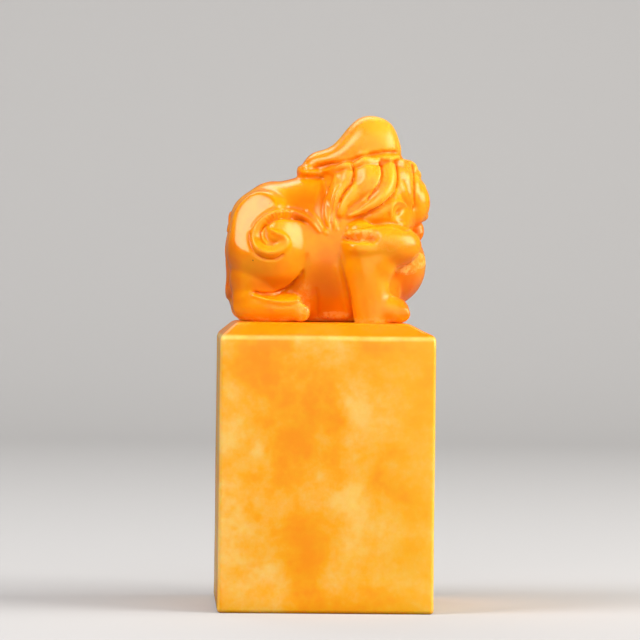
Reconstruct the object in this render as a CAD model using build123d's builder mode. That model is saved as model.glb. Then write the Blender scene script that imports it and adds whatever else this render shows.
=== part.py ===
from build123d import *
import os
from math import cos, radians, sin, sqrt

os.makedirs("parts", exist_ok=True)

# The seal stamp stands on its seal face. +Z is up, +X is the way the beast's body faces, and its right
# side, at -Y, is the side that is shown most. Every name of a side is the beast's own.

# Driving dimensions of the block, in mm
block_side = 25.0
block_height = 31.9
block_corner_radius = 0.5
seal_face_edge_radius = 0.35
shoulder_edge_radius = 0.4

# The plinth: low slopes that lead from the block's edges up to the beast
plinth_rise = 1.6
plinth_rear_run = 1.9
plinth_front_run = 3.1
plinth_side_run = 2.1

# The room that the beast takes on the block
beast_height = 24.4
rear_margin = 0.6
front_margin = 0.1
side_margin = 2.6
plinth_top = block_height + plinth_rise
beast_length = block_side - rear_margin - front_margin
beast_width = block_side - side_margin - side_margin
rump_x = rear_margin - block_side / 2

# Sizes of the beast's smaller forms
head_size = 10.4
face_turn = 40.0
crest_wall = 1.4
recess_height = 1.5
recess_length = 5.0
recess_depth = 1.3
curl_size = 4.9
curl_thickness = 1.3
curl_sink = 0.2
lock_width = 3.0
lock_thickness = 1.4
lock_sink = 0.25

sides = {"right": -1, "left": 1}


def spot(along, across, up):
    """A point of the beast, from shares of its length (from the rump), width and height."""
    return Vector(rump_x + along * beast_length, across * beast_width, plinth_top + up * beast_height)


def oval(plane, half_width, half_height):
    """An oval section with its centre on the plane's origin."""
    with BuildSketch(plane) as section:
        Circle(1)
        scale(by=(half_width, half_height, 1))
    return section.sketch


def swelling(sections):
    """A form that swells and tapers smoothly from section to section."""
    with BuildPart() as form:
        loft(sections=sections)
    return form.part


def egg(centre, reach, turn=0.0):
    """A rounded mass with its own reach along, across and up, turned about the upright axis."""
    with BuildPart() as mass:
        Sphere(1)
        scale(by=reach)
    return mass.part.moved(Location(centre, (0, 0, turn)))


def beast_egg(place_shares, reach_shares):
    """A rounded mass of the beast's body, placed and sized in shares of its three sizes."""
    along, across, up = reach_shares
    return egg(spot(*place_shares), (along * beast_length, across * beast_width, up * beast_height))


def lengthwise(rows, side=0):
    """A limb that lies along X. A row is along, across, up, half width and half height, in shares."""
    sections = []
    for along, across, up, half_width, half_height in rows:
        plane = Plane(origin=spot(along, side * across, up), x_dir=(0, 1, 0), z_dir=(1, 0, 0))
        sections.append(oval(plane, half_width * beast_width, half_height * beast_height))
    return swelling(sections)


def upright(rows, side=1):
    """A limb that stands along Z. A row is up, along, across, half length and half width, in shares."""
    sections = []
    for up, along, across, half_length, half_width in rows:
        plane = Plane(origin=spot(along, side * across, up))
        sections.append(oval(plane, half_length * beast_length, half_width * beast_width))
    return swelling(sections)


def ridge(points, outward, half_widths, half_heights):
    """A raised ridge along points, lying flat on the surface whose outward directions are given."""
    sections = []
    last = len(points) - 1
    for number, point in enumerate(points):
        tangent = points[min(number + 1, last)] - points[max(number - 1, 0)]
        flat = tangent.cross(outward[number])
        plane = Plane(origin=point, x_dir=flat, z_dir=tangent)
        sections.append(oval(plane, half_widths[number], half_heights[number]))
    return swelling(sections)


def trimmed(form, *carriers):
    """What is left of a form outside the larger masses that carry it, where they reach it."""
    reach = form.bounding_box()
    with BuildPart() as rest:
        add(form)
        for carrier in carriers:
            if reach.overlaps(carrier.bounding_box()):
                add(carrier, mode=Mode.SUBTRACT)
    return rest.part.solids().sort_by(SortBy.VOLUME)[-1]


# The block, with its plinth
with BuildPart() as seal_block:
    with BuildSketch():
        RectangleRounded(block_side, block_side, block_corner_radius)
    extrude(amount=block_height)
    fillet(seal_block.faces().sort_by(Axis.Z)[0].edges(), radius=seal_face_edge_radius)
    with BuildSketch(Plane.XY.offset(block_height)):
        RectangleRounded(block_side, block_side, block_corner_radius)
    with BuildSketch(Plane.XY.offset(plinth_top)):
        with Locations(((plinth_rear_run - plinth_front_run) / 2, 0)):
            RectangleRounded(
                block_side - plinth_rear_run - plinth_front_run,
                block_side - plinth_side_run - plinth_side_run,
                block_corner_radius,
            )
    loft(ruled=True)
    shoulder = seal_block.edges().filter_by_position(Axis.Z, block_height, block_height)
    fillet(shoulder, radius=shoulder_edge_radius)
seal_block.part.label = "seal_block"
block = seal_block.part

# The trunk, from the rump to the breast, lying on the plinth
trunk_shares = (
    (0.030, 0, 0.360, 0.190, 0.170),
    (0.090, 0, 0.335, 0.320, 0.275),
    (0.190, 0, 0.315, 0.375, 0.340),
    (0.325, 0, 0.303, 0.395, 0.389),
    (0.470, 0, 0.300, 0.395, 0.410),
    (0.613, 0, 0.275, 0.385, 0.375),
    (0.745, 0, 0.250, 0.345, 0.320),
    (0.852, 0, 0.235, 0.270, 0.250),
)
with BuildPart() as torso:
    add(trimmed(lengthwise(trunk_shares), block))
torso.part.label = "torso"
trunk = torso.part

# The breast, which swells out between the forelegs
with BuildPart() as chest:
    add(trimmed(beast_egg((0.827, 0, 0.250), (0.160, 0.273, 0.213)), trunk, block))
chest.part.label = "chest"
breast = chest.part

# The neck, a column that the mane lies on. A row is up, along, across, half length and half width.
neck_shares = (
    (0.307, 0.675, 0.000, 0.200, 0.360),
    (0.430, 0.693, 0.000, 0.215, 0.400),
    (0.553, 0.695, 0.000, 0.218, 0.380),
    (0.676, 0.693, 0.000, 0.205, 0.325),
    (0.760, 0.690, 0.000, 0.170, 0.260),
    (0.815, 0.688, 0.000, 0.100, 0.150),
)
with BuildPart() as neck:
    add(trimmed(upright(neck_shares), trunk, breast))
neck.part.label = "neck"
nape = neck.part

# The head, which looks back over the beast's left side
head_centre = spot(0.761, 0.071, 0.615)
ahead = Vector(cos(radians(face_turn)), sin(radians(face_turn)), 0)
leftward = Vector(-sin(radians(face_turn)), cos(radians(face_turn)), 0)
skull_shares = (0.500, 0.480, 0.510)


def face_spot(forward, across, up):
    """A point of the face, from shares of the head's size: ahead of, across and above its centre."""
    return head_centre + (ahead * forward + leftward * across + Vector(0, 0, up)) * head_size


def face_egg(place_shares, reach_shares):
    """A rounded mass of the face, turned with the head."""
    return egg(face_spot(*place_shares), tuple(share * head_size for share in reach_shares), face_turn)


def face_ridge(rows, side):
    """A ridge of the head. A row is forward, across, up, half width and half height, in shares."""
    points = [face_spot(forward, side * across, up) for forward, across, up, width, height in rows]
    outward = [point - head_centre for point in points]
    half_widths = [row[3] * head_size for row in rows]
    half_heights = [row[4] * head_size for row in rows]
    return ridge(points, outward, half_widths, half_heights)


with BuildPart() as head:
    add(trimmed(face_egg((0, 0, 0), skull_shares), nape, trunk, breast))
head.part.label = "head"
skull = head.part

# The muzzle with its broad nose, and the jaw under it
with BuildPart() as snout:
    add(face_egg((0.415, 0, -0.190), (0.205, 0.255, 0.165)))
    add(face_egg((0.545, 0, -0.090), (0.105, 0.145, 0.085)))
with BuildPart() as muzzle:
    add(trimmed(snout.part, skull, nape, breast))
muzzle.part.label = "muzzle"
lips = muzzle.part

with BuildPart() as jaw:
    add(trimmed(face_egg((0.330, 0, -0.400), (0.220, 0.225, 0.100)), lips, skull, nape, breast, trunk))
jaw.part.label = "jaw"
chin = jaw.part

# The beard, one broad pointed lock that hangs from the jaw over the breast. A row is up, forward, half
# depth and half width.
beard_shares = (
    (-0.740, 0.370, 0.030, 0.050),
    (-0.640, 0.370, 0.070, 0.120),
    (-0.530, 0.350, 0.095, 0.165),
    (-0.420, 0.310, 0.100, 0.165),
)
beard_sections = []
for up, forward, half_depth, half_width in beard_shares:
    hang = Plane(origin=face_spot(forward, 0, up), x_dir=ahead)
    beard_sections.append(oval(hang, half_depth * head_size, half_width * head_size))
with BuildPart() as beard:
    add(trimmed(swelling(beard_sections), chin, lips, skull, nape, breast, trunk))
beard.part.label = "beard"

# The cheeks, eyes, brows and drooping ears, in pairs
brow_shares = (
    (0.400, 0.060, 0.270, 0.045, 0.050),
    (0.350, 0.150, 0.340, 0.070, 0.070),
    (0.270, 0.250, 0.370, 0.080, 0.080),
    (0.140, 0.360, 0.340, 0.055, 0.055),
)
ear_shares = (
    (-0.040, 0.420, 0.350, 0.060, 0.050),
    (-0.060, 0.500, 0.220, 0.090, 0.060),
    (-0.060, 0.535, 0.080, 0.095, 0.065),
    (-0.030, 0.530, -0.060, 0.070, 0.060),
    (0.020, 0.505, -0.190, 0.025, 0.030),
)
cheeks, eyes, brows, ears = {}, {}, {}, {}
for name, side in sides.items():
    with BuildPart() as cheek:
        jowl = face_egg((0.135, side * 0.345, -0.010), (0.250, 0.190, 0.300))
        add(trimmed(jowl, lips, chin, skull, nape, trunk))
    cheek.part.label = "cheek_" + name
    cheeks[name] = cheek.part

    with BuildPart() as eye:
        add(trimmed(face_egg((0.410, side * 0.200, 0.090), (0.105, 0.105, 0.095)), cheeks[name], lips, skull))
    eye.part.label = "eye_" + name
    eyes[name] = eye.part

    with BuildPart() as brow:
        add(trimmed(face_ridge(brow_shares, side), eyes[name], cheeks[name], skull, nape))
    brow.part.label = "brow_" + name
    brows[name] = brow.part

    with BuildPart() as ear:
        add(trimmed(face_ridge(ear_shares, side), brows[name], cheeks[name], skull, nape, trunk))
    ear.part.label = "ear_" + name
    ears[name] = ear.part

# The crest, a smooth knob on the crown that sweeps back to a flat tip over the back
crest_shares = (
    (0.352, 0.742, 0.014, 0.045),
    (0.391, 0.748, 0.037, 0.096),
    (0.453, 0.760, 0.067, 0.131),
    (0.539, 0.776, 0.096, 0.162),
    (0.609, 0.791, 0.164, 0.187),
    (0.691, 0.805, 0.195, 0.202),
    (0.786, 0.824, 0.154, 0.182),
    (0.835, 0.832, 0.080, 0.121),
    (0.854, 0.836, 0.025, 0.051),
)


def crest_section(along, up, height, half_width):
    """A dome over a low upright wall."""
    top, half = height * beast_height, half_width * beast_width
    with BuildSketch(Plane(origin=spot(along, 0, up), x_dir=(0, 1, 0), z_dir=(1, 0, 0))) as section:
        with BuildLine():
            CenterArc((0, 0), 1, 0, 180)
            scale(by=(half, top, 1))
            Polyline((-half, 0), (-half, -crest_wall), (half, -crest_wall), (half, 0))
        make_face()
    return section.sketch


with BuildPart() as crest:
    swept = swelling([crest_section(*row) for row in crest_shares])
    add(trimmed(swept, brows["right"], brows["left"], ears["right"], ears["left"], skull, nape, trunk))
crest.part.label = "crest"

# The legs, in pairs
foreleg_shares = (
    (-0.012, 0.708, 0.348, 0.086, 0.111),
    (0.123, 0.687, 0.348, 0.095, 0.121),
    (0.225, 0.671, 0.343, 0.111, 0.136),
    (0.328, 0.679, 0.333, 0.136, 0.152),
    (0.422, 0.687, 0.313, 0.123, 0.152),
    (0.471, 0.695, 0.283, 0.074, 0.101),
)
forepaw_shares = (
    (0.679, 0.348, 0.053, 0.091, 0.053),
    (0.753, 0.354, 0.061, 0.116, 0.066),
    (0.819, 0.354, 0.057, 0.116, 0.057),
    (0.856, 0.354, 0.045, 0.096, 0.045),
    (0.872, 0.354, 0.037, 0.056, 0.029),
)
hind_foot_shares = (
    (0.086, 0.389, 0.070, 0.051, 0.037),
    (0.128, 0.394, 0.070, 0.086, 0.057),
    (0.222, 0.399, 0.070, 0.101, 0.066),
    (0.317, 0.399, 0.070, 0.104, 0.068),
    (0.391, 0.399, 0.066, 0.096, 0.061),
    (0.428, 0.399, 0.057, 0.061, 0.041),
)
haunch_middle = (0.200, 0.253, 0.361)
haunch_reach = (0.202, 0.247, 0.209)
front_toe_shares = (-0.083, -0.028, 0.028, 0.083)
hind_toe_shares = (-0.068, 0.0, 0.068)

forelegs, forepaws, haunches, hind_legs, curls = {}, {}, {}, {}, {}
for name, side in sides.items():
    with BuildPart() as upper_arm:
        add(upright(foreleg_shares, side))
        add(beast_egg((0.774, side * 0.323, 0.365), (0.175, 0.172, 0.102)))
    with BuildPart() as foreleg:
        add(trimmed(upper_arm.part, trunk, breast, nape, skull, chin, beard.part, cheeks[name], ears[name], block))
        recess_plane = Plane(origin=spot(0.600, side * 0.500, 0.414), x_dir=(1, 0, 0), z_dir=(0, side, 0))
        with BuildSketch(recess_plane):
            SlotCenterToCenter(recess_length, recess_height)
        extrude(amount=-recess_depth, mode=Mode.SUBTRACT)
    foreleg.part.label = "foreleg_" + name
    forelegs[name] = foreleg.part

    with BuildPart() as paw:
        add(lengthwise(forepaw_shares, side))
        for toe_share in front_toe_shares:
            add(beast_egg((0.836, side * (0.354 + toe_share), 0.043), (0.045, 0.032, 0.042)))
    with BuildPart() as forepaw:
        add(trimmed(paw.part, forelegs[name], trunk, breast, block))
    forepaw.part.label = "forepaw_" + name
    forepaws[name] = forepaw.part

    with BuildPart() as haunch:
        thigh = (haunch_middle[0], side * haunch_middle[1], haunch_middle[2])
        add(trimmed(beast_egg(thigh, haunch_reach), trunk, block))
    haunch.part.label = "haunch_" + name
    haunches[name] = haunch.part

    with BuildPart() as lower_leg:
        add(lengthwise(hind_foot_shares, side))
        add(beast_egg((0.235, side * 0.364, 0.131), (0.175, 0.120, 0.045)))
        for toe_share in hind_toe_shares:
            add(beast_egg((0.395, side * (0.399 + toe_share), 0.053), (0.045, 0.038, 0.045)))
    with BuildPart() as hind_leg:
        add(trimmed(lower_leg.part, haunches[name], trunk, block))
    hind_leg.part.label = "hind_leg_" + name
    hind_legs[name] = hind_leg.part

# The tail, a plume pressed flat on the rump
tail_shares = (
    (0.060, 0.050, 0, 0.034, 0.050),
    (0.140, 0.046, 0, 0.040, 0.075),
    (0.250, 0.040, 0, 0.040, 0.095),
    (0.370, 0.041, 0, 0.040, 0.110),
    (0.450, 0.048, 0, 0.038, 0.080),
    (0.505, 0.062, 0, 0.020, 0.035),
)
with BuildPart() as tail:
    add(trimmed(upright(tail_shares), haunches["right"], haunches["left"], trunk, block))
tail.part.label = "tail"

# The curls on the haunches: a ridge that winds from the flank over the haunch into a hook. A row is the
# angle from straight ahead, then the distance from the curl's middle and the half thickness as shares.
curl_middle = (0.201, 0.398)
curl_shares = (
    (12, 1.24, 0.20),
    (28, 1.10, 0.38),
    (48, 0.93, 0.50),
    (72, 0.74, 0.52),
    (102, 0.56, 0.48),
    (140, 0.44, 0.44),
    (182, 0.43, 0.42),
    (222, 0.45, 0.42),
    (258, 0.47, 0.44),
    (292, 0.51, 0.50),
    (325, 0.50, 0.62),
    (352, 0.36, 0.50),
    (375, 0.20, 0.22),
)


def between(rows, column, value):
    """The row that a table of shares has at a value of one of its columns, part way between two rows."""
    number = max([0] + [place for place, row in enumerate(rows[:-1]) if row[column] <= value])
    low, high = rows[number], rows[number + 1]
    part_way = (value - low[column]) / (high[column] - low[column])
    return [first + (last - first) * part_way for first, last in zip(low, high)]


def bulge(off_length, off_height):
    """How far an oval still stands out at a place inside its outline, as a share, and nothing outside."""
    return sqrt(max(1 - off_length**2 - off_height**2, 0))


def side_point(along, up, side, sink):
    """A point on the beast's side: on the haunch, trunk or neck, whichever stands out furthest there."""
    thigh_along = (along - haunch_middle[0]) / haunch_reach[0]
    thigh_up = (up - haunch_middle[2]) / haunch_reach[2]
    on_thigh = haunch_middle[1] + haunch_reach[1] * bulge(thigh_along, thigh_up)
    slice_of_trunk = between(trunk_shares, 0, along)
    on_trunk = slice_of_trunk[3] * bulge(0, (up - slice_of_trunk[2]) / slice_of_trunk[4])
    slice_of_neck = between(neck_shares, 0, up)
    on_neck = slice_of_neck[4] * bulge((along - slice_of_neck[1]) / slice_of_neck[3], 0)
    if abs(thigh_along) > 1 or abs(thigh_up) > 1:
        on_thigh = 0
    furthest = max(on_thigh, on_trunk, on_neck)
    return spot(along, side * furthest, up) - Vector(0, side * sink, 0)


for name, side in sides.items():
    points, halves = [], []
    for angle, distance_share, thickness_share in curl_shares:
        along = curl_middle[0] + curl_size / beast_length * distance_share * cos(radians(angle))
        up = curl_middle[1] + curl_size / beast_height * distance_share * sin(radians(angle))
        points.append(side_point(along, up, side, curl_sink))
        halves.append(thickness_share * curl_thickness)
    with BuildPart() as curl:
        coil = ridge(points, [Vector(0, side, 0)] * len(points), halves, halves)
        add(trimmed(coil, haunches[name], trunk))
    curl.part.label = "haunch_curl_" + name
    curls[name] = curl.part

# The mane, locks that fall from the crown and sweep back over the neck. Each is its half width, as a
# share of the widest, and its path down the side, along and up. The turned face leaves less of it on the left.
mane_shares = {
    "right": (
        (0.50, (0.669, 0.767), (0.674, 0.700), (0.646, 0.633), (0.609, 0.576), (0.576, 0.527)),
        (0.36, (0.760, 0.772), (0.770, 0.702), (0.733, 0.615), (0.662, 0.548), (0.590, 0.509)),
        (0.32, (0.813, 0.755), (0.819, 0.683), (0.791, 0.587), (0.700, 0.510), (0.605, 0.457)),
        (0.32, (0.604, 0.762), (0.606, 0.712), (0.574, 0.632), (0.537, 0.527), (0.514, 0.432)),
        (0.22, (0.548, 0.735), (0.530, 0.660), (0.505, 0.584), (0.488, 0.517), (0.486, 0.445)),
    ),
    "left": (
        (0.36, (0.660, 0.767), (0.650, 0.700), (0.615, 0.633), (0.580, 0.560), (0.560, 0.500)),
        (0.34, (0.600, 0.758), (0.590, 0.704), (0.565, 0.632), (0.530, 0.540), (0.510, 0.450)),
        (0.24, (0.548, 0.735), (0.530, 0.660), (0.505, 0.584), (0.488, 0.517), (0.480, 0.445)),
    ),
}
lock_swell_shares = (0.60, 0.95, 1.0, 0.75, 0.25)

locks = []
for name, side in sides.items():
    for number, (width_share, *path) in enumerate(mane_shares[name], start=1):
        points = [side_point(along, up, side, lock_sink) for along, up in path]
        outward = [Vector(0, side, 0)] * len(points)
        widths = [lock_width * width_share * swell for swell in lock_swell_shares]
        heights = [lock_thickness / 2 * swell for swell in lock_swell_shares]
        around = [nape, trunk, skull, crest.part, ears[name], cheeks[name], forelegs[name], *locks]
        with BuildPart() as lock:
            add(trimmed(ridge(points, outward, widths, heights), *around))
        lock.part.label = "mane_lock_" + name + "_" + str(number)
        locks.append(lock.part)

single = [seal_block, torso, chest, neck, head, muzzle, jaw, beard, crest, tail]
pieces = [node.part for node in single] + locks
for pairs in (cheeks, eyes, brows, ears, forelegs, forepaws, haunches, hind_legs, curls):
    pieces.extend(pairs.values())
for piece in pieces:
    export_step(piece, "parts/" + piece.label + ".step")
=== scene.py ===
from math import cos, radians, sin

import bpy
import numpy as np
from mathutils import Matrix, Quaternion, Vector, noise
from mathutils.bvhtree import BVHTree


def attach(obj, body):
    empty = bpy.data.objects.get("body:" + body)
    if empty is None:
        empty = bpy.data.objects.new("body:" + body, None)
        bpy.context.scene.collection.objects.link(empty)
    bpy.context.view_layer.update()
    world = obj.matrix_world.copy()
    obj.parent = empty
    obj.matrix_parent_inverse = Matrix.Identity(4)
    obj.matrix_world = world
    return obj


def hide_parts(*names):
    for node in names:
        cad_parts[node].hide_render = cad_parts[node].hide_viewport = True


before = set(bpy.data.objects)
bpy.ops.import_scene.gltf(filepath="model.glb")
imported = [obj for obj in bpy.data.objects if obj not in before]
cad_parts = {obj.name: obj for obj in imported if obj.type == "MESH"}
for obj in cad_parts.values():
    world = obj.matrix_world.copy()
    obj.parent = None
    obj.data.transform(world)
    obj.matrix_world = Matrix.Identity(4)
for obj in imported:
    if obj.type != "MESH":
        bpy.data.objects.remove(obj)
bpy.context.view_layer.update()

# The seal stamp stands on its seal face. The beast faces +X, and its right side, at -Y, is the side shown
# most. The stone is carved here in millimetres and brought down to metres when it is done. The camera, the
# lamps and the floor are in metres.

scene = bpy.context.scene
scene.view_settings.view_transform = "Standard"
metres = 0.001

# The block, and the plinth on it
block_side = 25.0
block_height = 31.9
plinth_height = 1.6
plinth_margin_x, plinth_margin_y = 2.5, 2.1
plinth_shift = -0.6
edge_round = 0.46

# The most triangles that the carved knob keeps
knob_triangles = 195000


# Camera and lamps

def place_camera(target, azimuth, elevation, roll, distance, lens):
    """The camera, set by where it looks and from which side."""
    turn, rise = radians(azimuth), radians(elevation)
    back = Vector((sin(turn) * cos(rise), -cos(turn) * cos(rise), sin(rise)))
    data = bpy.data.cameras.new("camera")
    data.lens = lens
    data.sensor_width = 36
    camera = bpy.data.objects.new("camera", data)
    camera.location = Vector(target) + back * distance
    camera.rotation_mode = "QUATERNION"
    tilt = Quaternion((0, 0, 1), radians(roll))
    camera.rotation_quaternion = (-back).to_track_quat("-Z", "Y") @ tilt
    scene.collection.objects.link(camera)
    scene.camera = camera


stamp_middle = Vector((0, 0, 0.04))


def place_softbox(name, direction, distance, size, power, colour):
    """A soft rectangular lamp that looks at the stamp's middle from a direction."""
    data = bpy.data.lights.new(name, "AREA")
    data.shape = "RECTANGLE"
    data.size, data.size_y = size
    data.energy = power
    data.color = colour
    lamp = bpy.data.objects.new(name, data)
    towards = Vector(direction).normalized()
    lamp.location = stamp_middle + towards * distance
    lamp.rotation_mode = "QUATERNION"
    lamp.rotation_quaternion = towards.to_track_quat("Z", "Y")
    scene.collection.objects.link(lamp)


place_camera(target=(-0.00047, 0, 0.0337), azimuth=-2.5, elevation=0.6, roll=0.65, distance=0.45, lens=214)
place_softbox("right_window", direction=(0.86, -0.22, 0.46), distance=0.6, size=(0.46, 0.46), power=5.4,
              colour=(1.0, 0.98, 0.95))
place_softbox("left_window", direction=(-0.64, -0.30, 0.70), distance=0.6, size=(0.26, 0.34), power=2.8,
              colour=(0.94, 0.95, 1.0))
place_softbox("front_fill", direction=(0.12, -1.0, 0.52), distance=1.2, size=(1.6, 1.5), power=11.0,
              colour=(1.0, 1.0, 1.0))
place_softbox("back_fill", direction=(-0.15, 0.8, 0.75), distance=0.9, size=(0.7, 0.4), power=2.8,
              colour=(1.0, 1.0, 1.0))


# Materials

class Wire:
    """A value in a material's nodes that sums can be written with."""

    def __init__(self, tree, socket):
        self.tree = tree
        self.socket = socket

    def maths(self, operation, first, second=0.0):
        node = self.tree.nodes.new("ShaderNodeMath")
        node.operation = operation
        for slot, value in zip(node.inputs, (first, second)):
            feed(self.tree, value, slot)
        return Wire(self.tree, node.outputs[0])

    def __add__(self, other):
        return self.maths("ADD", self, other)

    def __radd__(self, other):
        return self.maths("ADD", other, self)

    def __sub__(self, other):
        return self.maths("SUBTRACT", self, other)

    def __rsub__(self, other):
        return self.maths("SUBTRACT", other, self)

    def __mul__(self, other):
        return self.maths("MULTIPLY", self, other)

    def __rmul__(self, other):
        return self.maths("MULTIPLY", other, self)

    def clamped(self):
        """The value kept between 0 and 1."""
        return self.maths("MINIMUM", self.maths("MAXIMUM", self, 0.0), 1.0)

    def unsigned(self):
        """The value without its sign."""
        return self.maths("ABSOLUTE", self)


def feed(tree, value, slot):
    """Puts a wire or a plain value into a socket."""
    if isinstance(value, Wire):
        tree.links.new(value.socket, slot)
    else:
        slot.default_value = value


class Finish:
    """The nodes of a material, or of the room, under construction."""

    def __init__(self, tree):
        self.tree = tree

    def node(self, kind, settings=None, out=0, **values):
        """A node of a kind, with its settings, then its sockets' values or wires, as one of its outputs."""
        made = self.tree.nodes.new(kind)
        for setting, choice in (settings or {}).items():
            setattr(made, setting, choice)
        for socket, value in values.items():
            number = socket[1:]
            slot = made.inputs[int(number) if number.isdigit() else socket.replace("_", " ")]
            feed(self.tree, value, slot)
        return Wire(self.tree, made.outputs[out]) if made.outputs else None

    def noise(self, place, scale, detail=2.0, roughness=0.5, distortion=0.0):
        """Soft blotches from 0 to 1."""
        return self.node("ShaderNodeTexNoise", Vector=place, Scale=scale, Detail=detail, Roughness=roughness,
                         Distortion=distortion)

    def step(self, value, low, high):
        """0 below low, 1 above high, and smooth between them. A low above high turns it round."""
        return self.node("ShaderNodeMapRange", {"interpolation_type": "SMOOTHSTEP"},
                         i0=value, i1=low, i2=high, i3=0.0, i4=1.0)

    def mix(self, share, first, second):
        """Two colours mixed."""
        return self.node("ShaderNodeMix", {"data_type": "RGBA"}, out=2, i0=share, i6=first, i7=second)

    def stored(self, name):
        """A value that a piece keeps for each of its points."""
        return self.node("ShaderNodeAttribute", {"attribute_name": name}, out=2)

    def seen_pale(self, shown, unseen):
        """A colour that the camera sees paler than the light that it throws back on the stamp."""
        return self.mix(self.node("ShaderNodeLightPath", out="Is Camera Ray"), unseen, shown)


def new_material(name):
    """A material with no nodes yet, and what fills it."""
    material = bpy.data.materials.new(name)
    material.use_nodes = True
    material.node_tree.nodes.clear()
    return material, Finish(material.node_tree)


def rgb(red, green, blue):
    """A colour as a picture shows it, brought to the linear values that the shader takes."""
    def linear(value):
        value = value / 255
        return value / 12.92 if value <= 0.04045 else ((value + 0.055) / 1.055) ** 2.4
    return (linear(red), linear(green), linear(blue), 1.0)


# Cloudy places on the block's photographed face, in rows of X, Z, reach and how much paler they are
cloudy_places = (
    (4.4, 22.5, 6.5, 0.13), (-10.0, 18.5, 5.5, 0.10), (5.0, 11.5, 6.0, 0.10), (10.5, 17.0, 6.0, 0.07),
    (-7.0, 3.0, 6.0, 0.14), (-2.5, 19.0, 5.5, -0.10), (-3.0, 8.0, 5.0, -0.10), (-5.0, 28.0, 5.0, -0.05),
)


def clouded(finish, place, share, cloud_size):
    """The block's cloudy places, and finer clouds among them, added to its share of pale stone."""
    share = share + (finish.noise(place, 12 / cloud_size, detail=2.0, roughness=0.5) - 0.5) * 0.14
    for x, z, reach, amount in cloudy_places:
        centre = (x * metres, -block_side / 2 * metres, z * metres)
        apart = finish.node("ShaderNodeVectorMath", {"operation": "DISTANCE"}, out="Value",
                            i0=place, i1=centre)
        share = share + finish.step(apart, reach * metres, 0.0) * amount
    return share


def carved_marks(finish, place, colour, roughness, height):
    """The beast's specks; painted shade in its deeper hollows and crevices; its wear, with painted highlight;
    and its rough cuts, with painted glints.
    """
    painted_crevice_shade = finish.stored("painted_crevice_shade")
    rough_cut_and_glint = finish.stored("rough_cut_and_glint")
    wear_and_highlight = finish.stored("wear_and_highlight")
    pits = finish.noise(place, 1700.0, detail=2.0, roughness=0.65)
    speck = finish.node("ShaderNodeTexVoronoi", Vector=place, Scale=460.0)
    colour = finish.mix(finish.step(speck, 0.05, 0.03), colour, rgb(120, 48, 10))
    # Painted shade: deeper orange where shade falls, under the haunch, between the legs and on the breast
    colour = finish.mix(finish.stored("painted_shade") * 0.85, colour, rgb(220, 112, 0))
    # Wear and painted highlight: paler on the ridges, the crest's lit right and other lit places, less in
    # crevices
    colour = finish.mix(wear_and_highlight * (1.0 - painted_crevice_shade) * 0.5, colour, rgb(255, 184, 50))
    # Painted shade: crevices darker and redder, as where light reaches less
    colour = finish.mix((painted_crevice_shade * 0.65).clamped(), colour, rgb(212, 94, 2))
    # Rough cuts: pale pits, partly the rough stone's own colour and partly painted glints
    colour = finish.mix(rough_cut_and_glint * finish.step(pits, 0.42, 0.60) * 0.7, colour, rgb(253, 196, 104))
    return colour, roughness + wear_and_highlight * 0.12 + rough_cut_and_glint * 0.22, height + pits * rough_cut_and_glint * 22.0


def block_marks(finish, place, clouds, mottle, colour):
    """The block's right half, painted yellower as painted light from the right, its deeper plinth, and its
    pale corners and rim, both worn edges and a painted highlight along them.
    """
    across = finish.node("ShaderNodeSeparateXYZ", out="X", Vector=place)
    depthways = finish.node("ShaderNodeSeparateXYZ", out="Y", Vector=place)
    upwards = finish.node("ShaderNodeSeparateXYZ", out="Z", Vector=place)
    top, side = block_height * metres, block_side / 2 * metres
    # Painted light: the right half lighter and yellower, as lit from the right
    painted_light_right_half = finish.step(across + (clouds - 0.5) * 0.02, 0.0, 0.012)
    colour = finish.mix(painted_light_right_half * 0.4, colour, rgb(254, 192, 44))
    plinth = finish.step(upwards, top - 0.0002, top + 0.0003)
    colour = finish.mix(plinth * 0.85, colour, rgb(240, 132, 2))
    # Pale corners and rim: worn edges, and a painted highlight along the edges
    near_sides = finish.step(across.unsigned(), side - 0.0004, side - 0.0001)
    corner = near_sides * finish.step(depthways.unsigned(), side - 0.0004, side - 0.0001)
    rim = finish.step(upwards, top - 0.0006, top - 0.0002) * finish.step(upwards, top + 0.0002, top - 0.0001)
    return finish.mix((corner * 0.45 + rim * mottle * 0.9).clamped(), colour, rgb(255, 214, 130))


def stone_finish(name, tones, cloud_size, gloss, carved):
    """Waxy translucent stone: clouds of paler and deeper colour, fine grain and a soft polish."""
    material, finish = new_material(name)
    place = finish.node("ShaderNodeTexCoord", out="Object")
    clouds = finish.noise(place, 1 / cloud_size, detail=3.0, roughness=0.55, distortion=0.4)
    mottle = finish.noise(place, 4 / cloud_size, detail=4.0, roughness=0.6)
    grain = finish.noise(place, 2600.0, detail=3.0, roughness=0.7)
    share = clouds * 0.75 + mottle * 0.25
    if not carved:
        share = clouded(finish, place, share, cloud_size)
    deep, body, pale = tones
    colour = finish.mix(finish.step(share, 0.32, 0.54), deep, body)
    colour = finish.mix(finish.step(share, 0.46, 0.78), colour, pale)
    roughness = gloss + (grain - 0.5) * 0.10 + (mottle - 0.5) * 0.08
    height = grain * 0.25 + finish.noise(place, 420.0, detail=2.0) * 1.2
    if carved:
        colour, roughness, height = carved_marks(finish, place, colour, roughness, height)
    else:
        colour = block_marks(finish, place, clouds, mottle, colour)
    shader = finish.node(
        "ShaderNodeBsdfPrincipled", {"subsurface_method": "RANDOM_WALK"},
        Base_Color=colour, Roughness=roughness, IOR=1.46, Specular_Tint=(1.0, 0.86, 0.62, 1.0),
        Normal=finish.node("ShaderNodeBump", Strength=0.35, Distance=0.00001, Height=height),
        Subsurface_Weight=1.0, Subsurface_Radius=(1.0, 0.45, 0.12), Subsurface_Scale=0.0008,
    )
    finish.node("ShaderNodeOutputMaterial", Surface=shader)
    return material


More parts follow.
